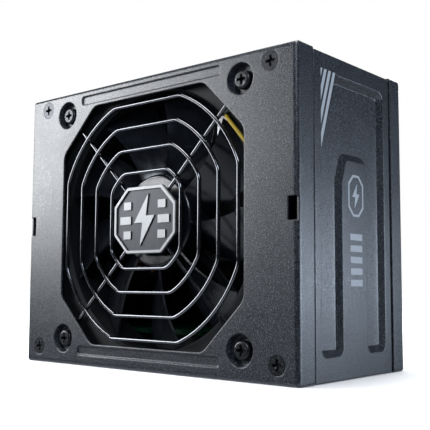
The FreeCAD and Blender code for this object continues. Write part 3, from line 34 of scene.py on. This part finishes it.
class Shader:
    """A material's node tree, with short calls for the nodes it uses."""

    def __init__(self, name):
        self.material = bpy.data.materials.new(name)
        self.material.use_nodes = True
        self.tree = self.material.node_tree
        self.tree.nodes.clear()
        self.output = self.tree.nodes.new("ShaderNodeOutputMaterial")
        self.surface = self.tree.nodes.new("ShaderNodeBsdfPrincipled")
        self.tree.links.new(self.surface.outputs["BSDF"], self.output.inputs["Surface"])
        self.place = self.tree.nodes.new("ShaderNodeTexCoord").outputs["Object"]

    def set(self, **values):
        """Fixed values on the shader's own sockets; an underscore stands for a space."""
        for key, value in values.items():
            self.surface.inputs[key.replace("_", " ")].default_value = value
        return self

    def link(self, output, name):
        self.tree.links.new(output, self.surface.inputs[name])

    def make(self, kind, inputs=(), **settings):
        """A node with its settings, and its inputs linked or set by position or name."""
        item = self.tree.nodes.new(kind)
        for key, value in settings.items():
            setattr(item, key, value)
        for key, value in dict(inputs).items():
            if isinstance(value, bpy.types.NodeSocket):
                self.tree.links.new(value, item.inputs[key])
            else:
                item.inputs[key].default_value = value
        return item

    def noise(self, size, detail=2.0, rough=0.5, place=None):
        """Noise whose grains are about size metres across."""
        inputs = {"Vector": place or self.place, "Scale": 1.0 / size, "Detail": detail,
                  "Roughness": rough}
        return self.make("ShaderNodeTexNoise", inputs).outputs["Fac"]

    def spots(self, size):
        """Round cells about size metres across: the distance to each one's middle."""
        inputs = {"Vector": self.place, "Scale": 1.0 / size}
        return self.make("ShaderNodeTexVoronoi", inputs).outputs["Distance"]

    def waves(self, size, direction="X", bend=0.0):
        """Fine straight bands about size metres apart."""
        inputs = {"Vector": self.place, "Scale": 0.5 / size, "Distortion": bend, "Detail": 2.0}
        return self.make("ShaderNodeTexWave", inputs, bands_direction=direction).outputs["Fac"]

    def stretched(self, scale):
        """Object coordinates scaled along each axis, for brushed or streaked grain."""
        return self.make("ShaderNodeMapping", {"Vector": self.place, "Scale": scale}).outputs[0]

    def ramp(self, value, low, high, start=0.0, end=1.0):
        """A value moved from one range to another."""
        inputs = {"Value": value, "From Min": start, "From Max": end, "To Min": low, "To Max": high}
        return self.make("ShaderNodeMapRange", inputs).outputs["Result"]

    def spread(self, noise, low, high):
        """A noise's usual range moved to another range."""
        return self.ramp(noise, low, high, NOISE_LOW, NOISE_HIGH)

    def blend(self, value, first, second):
        """Colour between two colours."""
        item = self.make("ShaderNodeMix", {"Factor": value}, data_type="RGBA")
        colours = [socket for socket in item.inputs if socket.type == "RGBA"]
        for socket, colour in zip(colours, (first, second)):
            if isinstance(colour, bpy.types.NodeSocket):
                self.tree.links.new(colour, socket)
            else:
                socket.default_value = (*colour, 1.0)
        return [socket for socket in item.outputs if socket.type == "RGBA"][0]

    def math(self, operation, first, second):
        return self.make("ShaderNodeMath", {0: first, 1: second}, operation=operation).outputs[0]

    def rounded(self, radius):
        """Normal that rounds off sharp edges over a radius in metres."""
        return self.make("ShaderNodeBevel", {"Radius": radius}, samples=6).outputs["Normal"]

    def bump(self, height, depth, strength=1.0, base=None):
        """Bump of a depth in metres on the shader's normal, over another bump if given."""
        inputs = {"Height": height, "Distance": depth, "Strength": strength}
        if base is not None:
            inputs["Normal"] = base
        normal = self.make("ShaderNodeBump", inputs).outputs["Normal"]
        self.link(normal, "Normal")
        return normal


# ---------------------------------------------------------------- materials

def powder_coat():
    """Fine-textured satin black paint with pale flecks and a soft orange-peel."""
    shader = Shader("powder_coat").set(Specular_IOR_Level=0.68)
    grain = shader.noise(0.38 * MM, 2.0, 0.6)
    fleck = shader.noise(0.37 * MM, 1.5, 0.5)
    drift = shader.noise(22 * MM, 2.0, 0.5)
    base = shader.blend(shader.ramp(grain, 0.0, 1.0, 0.36, 0.66), (0.0015, 0.002, 0.003),
                        (0.016, 0.019, 0.026))
    flecked = shader.blend(shader.ramp(fleck, 0.0, 0.60, 0.52, 0.66), base, (0.16, 0.18, 0.21))
    shader.link(flecked, "Base Color")
    rough = shader.math("ADD", shader.spread(grain, 0.27, 0.40),
                        shader.spread(drift, -0.03, 0.03))
    shader.link(rough, "Roughness")
    peel = shader.bump(shader.noise(1.2 * MM, 2.0), 0.02 * MM, 0.3, shader.rounded(0.5 * MM))
    shader.bump(grain, 0.055 * MM, 0.9, peel)
    return shader.material


def black_nickel():
    """Dark glossy plated wire with faint drawing lines."""
    shader = Shader("black_nickel").set(Metallic=1.0, Specular_IOR_Level=0.5)
    streak = shader.noise(0.5 * MM, 2.0, 0.6)
    shader.link(shader.blend(streak, (0.09, 0.092, 0.10), (0.155, 0.158, 0.168)), "Base Color")
    shader.link(shader.spread(streak, 0.10, 0.20), "Roughness")
    shader.bump(streak, 0.01 * MM, 0.4)
    return shader.material


def black_zinc():
    """Semi-gloss black plating with brighter worn specks."""
    shader = Shader("black_zinc").set(Metallic=0.75)
    grain = shader.noise(0.35 * MM, 3.0)
    worn = shader.ramp(shader.noise(1.1 * MM, 4.0, 0.7), 0.0, 1.0, 0.60, 0.72)
    shader.link(shader.blend(worn, (0.035, 0.036, 0.040), (0.22, 0.22, 0.23)), "Base Color")
    shader.link(shader.spread(grain, 0.24, 0.42), "Roughness")
    shader.bump(grain, 0.02 * MM, 0.5)
    return shader.material


def brushed_metal(name, dark, light, rough, scale=(1, 60, 60), size=14):
    """Metal with fine parallel brushing."""
    shader = Shader(name).set(Metallic=1.0)
    lines = shader.noise(size * MM, 4.0, 0.7, shader.stretched(scale))
    shader.link(shader.blend(lines, dark, light), "Base Color")
    shader.link(shader.spread(lines, rough - 0.07, rough + 0.1), "Roughness")
    shader.bump(lines, 0.015 * MM, 0.5)
    return shader.material


def badge_field():
    """Dark satin badge with vertical brushing."""
    shader = Shader("badge_field").set(Metallic=0.6)
    lines = shader.noise(9 * MM, 3.0, 0.6, shader.stretched((40, 40, 1)))
    shader.link(shader.blend(lines, (0.018, 0.019, 0.022), (0.058, 0.060, 0.066)), "Base Color")
    shader.link(shader.spread(lines, 0.30, 0.45), "Roughness")
    shader.bump(lines, 0.01 * MM, 0.4)
    return shader.material


def moulded(name, dark, light, rough=0.42, grain=0.5):
    """Moulded plastic with a fine grain and slight cloudiness."""
    shader = Shader(name).set(Specular_IOR_Level=0.5)
    fine = shader.noise(grain * MM, 3.0, 0.6)
    cloud = shader.noise(9 * MM, 2.0)
    shader.link(shader.blend(cloud, dark, light), "Base Color")
    spread = shader.math("ADD", shader.spread(fine, rough - 0.06, rough + 0.08),
                         shader.spread(cloud, -0.03, 0.03))
    shader.link(spread, "Roughness")
    shader.bump(fine, 0.02 * MM, 0.5)
    return shader.material


def fan_plastic():
    """Black glass-filled nylon of the fan, with flow lines that catch the light."""
    shader = Shader("fan_plastic").set(Specular_IOR_Level=0.6)
    flow = shader.noise(5 * MM, 3.0, 0.6, shader.stretched((1, 3, 1)))
    fine = shader.noise(0.25 * MM, 2.0)
    shader.link(shader.blend(flow, (0.0035, 0.004, 0.006), (0.010, 0.012, 0.017)), "Base Color")
    shader.link(shader.math("ADD", shader.spread(flow, 0.12, 0.22),
                            shader.spread(fine, 0.0, 0.05)), "Roughness")
    shader.bump(fine, 0.01 * MM, 0.4)
    return shader.material


def matt_plastic():
    """Dull black plastic of the fan frame, with a fine spark-eroded grain."""
    shader = Shader("matt_plastic").set(Specular_IOR_Level=0.22)
    grain = shader.noise(0.30 * MM, 3.0, 0.6)
    shader.link(shader.blend(grain, (0.004, 0.004, 0.005), (0.014, 0.015, 0.018)), "Base Color")
    shader.link(shader.spread(grain, 0.48, 0.66), "Roughness")
    shader.bump(grain, 0.03 * MM, 0.6)
    return shader.material


def print_ink():
    """Light grey screen print with slightly uneven cover."""
    shader = Shader("print_ink").set(Specular_IOR_Level=0.4)
    cover = shader.noise(0.5 * MM, 3.0, 0.65)
    shader.link(shader.blend(cover, (0.36, 0.39, 0.42), (0.52, 0.55, 0.58)), "Base Color")
    shader.link(shader.spread(cover, 0.45, 0.62), "Roughness")
    shader.bump(cover, 0.03 * MM, 0.4)
    return shader.material


def circuit_board():
    """Green solder mask over a weave of tracks."""
    shader = Shader("circuit_board").set(Specular_IOR_Level=0.55)
    tracks = shader.ramp(shader.waves(1.1 * MM, "X", 5.0), 0.0, 1.0, 0.45, 0.55)
    weave = shader.noise(0.5 * MM, 2.0)
    green = shader.blend(tracks, (0.004, 0.024, 0.012), (0.009, 0.052, 0.025))
    mask = shader.blend(shader.ramp(weave, 0.0, 0.3), green, (0.02, 0.09, 0.045))
    shader.link(mask, "Base Color")
    shader.link(shader.ramp(weave, 0.22, 0.34), "Roughness")
    shader.bump(tracks, 0.03 * MM, 0.6)
    return shader.material


def copper_wire():
    """Enamelled copper with the lines of its turns."""
    shader = Shader("copper_wire").set(Metallic=1.0)
    turns = shader.noise(0.4 * MM, 2.0)
    shader.link(shader.blend(turns, (0.42, 0.15, 0.05), (0.80, 0.36, 0.14)), "Base Color")
    shader.link(shader.spread(turns, 0.18, 0.36), "Roughness")
    shader.bump(turns, 0.02 * MM, 0.6)
    return shader.material


def ferrite():
    """Pressed ferrite: dark, dry and slightly pitted."""
    shader = Shader("ferrite").set(Specular_IOR_Level=0.4)
    pits = shader.spots(0.8 * MM)
    grain = shader.noise(0.3 * MM, 3.0)
    shader.link(shader.blend(grain, (0.030, 0.030, 0.032), (0.075, 0.075, 0.078)), "Base Color")
    shader.link(shader.spread(grain, 0.5, 0.75), "Roughness")
    shader.bump(pits, 0.04 * MM, 0.4)
    return shader.material


def wrapped_tape():
    """Yellow polyester tape with its overlapping edges; its yellow is darkened well below real tape
    as painted shade for the dim inside of the case.
    """
    shader = Shader("wrapped_tape").set(Specular_IOR_Level=0.5)
    edges = shader.waves(2.4 * MM, "Y", 1.0)
    # painted shade: both yellows are kept far darker than real tape, standing in for the unlit
    # inside of the case
    shader.link(shader.blend(edges, (0.16, 0.11, 0.012), (0.26, 0.18, 0.02)), "Base Color")
    shader.link(shader.ramp(edges, 0.22, 0.38), "Roughness")
    shader.bump(edges, 0.06 * MM, 0.5)
    return shader.material


def floor_material():
    """Plain pale floor with a faint tooth."""
    shader = Shader("pale_floor").set(Specular_IOR_Level=0.0)
    tooth = shader.noise(3 * MM, 3.0)
    shader.link(shader.blend(tooth, (0.86, 0.86, 0.865), (0.90, 0.90, 0.905)), "Base Color")
    shader.link(shader.ramp(tooth, 0.75, 0.85), "Roughness")
    shader.bump(tooth, 0.02 * MM, 0.2)
    return shader.material


def slot_materials():
    """One finished material for every material slot of the record."""
    return {
        "case_paint": powder_coat(),
        "print_ink": print_ink(),
        "screw_black": black_zinc(),
        "guard_wire": black_nickel(),
        "badge_field": badge_field(),
        "badge_silver": brushed_metal("badge_silver", (0.22, 0.225, 0.23),
                                      (0.34, 0.345, 0.35), 0.46, (60, 60, 1), 9),
        "fan_plastic": fan_plastic(),
        "bright_steel": brushed_metal("bright_steel", (0.42, 0.43, 0.44), (0.66, 0.67, 0.68), 0.3),
        "magnet_black": moulded("magnet_black", (0.02, 0.02, 0.02), (0.045, 0.045, 0.05), 0.5),
        "bronze": brushed_metal("bronze", (0.40, 0.24, 0.09), (0.58, 0.38, 0.17), 0.4),
        "lamination": brushed_metal("lamination", (0.20, 0.21, 0.22), (0.44, 0.45, 0.46), 0.4,
                                    (1, 160, 1), 30),
        "copper_wire": copper_wire(),
        "board_green": circuit_board(),
        "wire_black": moulded("wire_black", (0.010, 0.010, 0.011),
                              (0.028, 0.028, 0.030), 0.45, 0.8),
        "wire_yellow": moulded("wire_yellow", (0.36, 0.24, 0.01), (0.56, 0.39, 0.02), 0.42, 0.8),
        "wire_green": moulded("wire_green", (0.07, 0.26, 0.02), (0.48, 0.46, 0.03), 0.42, 0.8),
        "white_nylon": moulded("white_nylon", (0.62, 0.60, 0.54), (0.78, 0.76, 0.70), 0.4),
        "black_plastic": moulded("black_plastic", (0.010, 0.010, 0.011),
                                 (0.030, 0.031, 0.034), 0.4),
        "contact_metal": brushed_metal("contact_metal", (0.50, 0.49, 0.47),
                                       (0.74, 0.73, 0.70), 0.25),
        "standoff_brass": brushed_metal("standoff_brass", (0.50, 0.33, 0.10),
                                        (0.74, 0.55, 0.24), 0.3),
        "clear_film": moulded("clear_film", (0.03, 0.03, 0.034), (0.07, 0.07, 0.078), 0.25, 1.5),
        "capacitor_sleeve": moulded("capacitor_sleeve", (0.010, 0.012, 0.022),
                                    (0.03, 0.035, 0.06), 0.28),
        "sink_aluminium": brushed_metal("sink_aluminium", (0.46, 0.47, 0.48),
                                        (0.68, 0.69, 0.70), 0.34, (50, 50, 1), 20),
        "ferrite": ferrite(),
        "yellow_tape": wrapped_tape(),
        "disc_blue": moulded("disc_blue", (0.02, 0.05, 0.18), (0.05, 0.12, 0.34), 0.22),
    }


def coat(node, material):
    """Put one material all over a CAD node."""
    mesh = NODES[node].data
    mesh.materials.clear()
    mesh.materials.append(material)


def dress_nodes(materials):
    """Give every CAD node its slot's finished material; the fan frame is duller than the blades."""
    for entry in frame["record"]["subparts"]:
        coat(entry["node"], materials[entry["material_slot"]])
    coat("fan_frame", matt_plastic())


# ---------------------------------------------------------------- stage, light and camera

CAMERA_PLACE = Vector((187.7, -215.35, 28.0)) * MM
CAMERA_AHEAD = Vector((-0.645, 0.758, 0.092))
CAMERA_RIGHT = Vector((0.762, 0.648, 0.005))
LENS = 65.4
SENSOR_WIDTH = 36.0
CLIP_START = 0.01


def add_object(name, data):
    """A new object of the scene, such as a light or the camera."""
    item = bpy.data.objects.new(name, data)
    bpy.context.scene.collection.objects.link(item)
    return item


def add_camera():
    """Camera at the three-quarter view, a little below the middle of the case."""
    data = bpy.data.cameras.new("camera")
    data.lens = LENS
    data.sensor_width = SENSOR_WIDTH
    data.clip_start = CLIP_START
    camera = add_object("camera", data)
    ahead = CAMERA_AHEAD.normalized()
    up = CAMERA_RIGHT.cross(ahead).normalized()
    right = ahead.cross(up)
    turn = Matrix((right, up, -ahead)).transposed().to_4x4()
    camera.matrix_world = Matrix.Translation(CAMERA_PLACE) @ turn
    bpy.context.scene.camera = camera


# Radiance in reflections: the room, the ground, and how far below level the ground starts
ROOM_COLOUR = (0.030, 0.036, 0.048)
GROUND_COLOUR = (0.62, 0.66, 0.74)
GROUND_START = -0.24
GROUND_END = -0.60

# Softboxes: place, target and size in mm, power in watts, colour
SOFTBOXES = {
    "key_left": ((-545, -345, 242), (-30, -30, 75), (400, 315), 4.6, (0.95, 0.97, 1.0)),
    "cool_right": ((572, 352, 36), (62, 0, 30), (420, 100), 2.4, (0.72, 0.84, 1.0)),
    "fan_glow": ((300, -330, 340), (0, -20, 60), (150, 150), 1.1, (0.80, 0.88, 1.0)),
    "back_high": ((-140, 520, 340), (0, 30, 70), (420, 260), 2.2, (1.0, 1.0, 1.0)),
}

# Overhead light: strength, apparent width and tilt in degrees
SUN_STRENGTH = 3.7
SUN_WIDTH = 36
SUN_TILT = (4, -6)

FLOOR_RADIUS = 4.0
FLOOR_SIDES = 96


def add_softbox(name, place, target, size, power, colour):
    """Rectangular soft light that shines from a place towards a target."""
    data = bpy.data.lights.new(name, "AREA")
    data.shape = "RECTANGLE"
    data.size = size[0] * MM
    data.size_y = size[1] * MM
    data.energy = power
    data.color = colour
    light = add_object(name, data)
    light.visible_camera = False
    light.location = Vector(place) * MM
    aim = (Vector(target) - Vector(place)).normalized()
    light.rotation_euler = aim.to_track_quat("-Z", "Y").to_euler()


def add_lights():
    """Softboxes round the case, the strongest at the upper left, and a broad light above."""
    for name, settings in SOFTBOXES.items():
        add_softbox(name, *settings)
    data = bpy.data.lights.new("overhead", "SUN")
    data.energy = SUN_STRENGTH
    data.angle = math.radians(SUN_WIDTH)
    sun = add_object("overhead", data)
    sun.rotation_euler = (math.radians(SUN_TILT[0]), math.radians(SUN_TILT[1]), 0)


def add_world():
    """Plain white to the eye; in reflections a dim room over a pale ground."""
    world = bpy.data.worlds.new("studio")
    bpy.context.scene.world = world
    world.use_nodes = True
    tree = world.node_tree
    tree.nodes.clear()

    def make(kind, **values):
        item = tree.nodes.new(kind)
        for key, value in values.items():
            socket = item.inputs[key.replace("_", " ")]
            if isinstance(value, bpy.types.NodeSocket):
                tree.links.new(value, socket)
            else:
                socket.default_value = value
        return item

    seen = make("ShaderNodeBackground", Color=(1, 1, 1, 1), Strength=1.0)
    room = make("ShaderNodeBackground", Color=(*ROOM_COLOUR, 1), Strength=1.0)
    ground = make("ShaderNodeBackground", Color=(*GROUND_COLOUR, 1), Strength=1.0)
    way = make("ShaderNodeSeparateXYZ", Vector=make("ShaderNodeTexCoord").outputs["Generated"])
    below = make("ShaderNodeMapRange", Value=way.outputs["Z"],
                 From_Min=GROUND_START, From_Max=GROUND_END)
    dim = make("ShaderNodeMixShader", Fac=below.outputs["Result"])
    eye = make("ShaderNodeMixShader", Fac=make("ShaderNodeLightPath").outputs["Is Camera Ray"])
    for mix, first, second in ((dim, room, ground), (eye, dim, seen)):
        tree.links.new(first.outputs[0], mix.inputs[1])
        tree.links.new(second.outputs[0], mix.inputs[2])
    tree.links.new(eye.outputs[0], make("ShaderNodeOutputWorld").inputs["Surface"])


def add_floor():
    """Round pale floor just under the case."""
    bpy.ops.mesh.primitive_circle_add(vertices=FLOOR_SIDES, radius=FLOOR_RADIUS,
                                      fill_type="NGON", location=(0, 0, 0))
    floor = bpy.context.object
    floor.name = "floor"
    floor.data.materials.append(floor_material())
    floor.visible_glossy = False
    floor.visible_diffuse = False


bpy.context.scene.view_settings.view_transform = "Standard"
dress_nodes(slot_materials())
add_floor()
add_world()
add_lights()
add_camera()
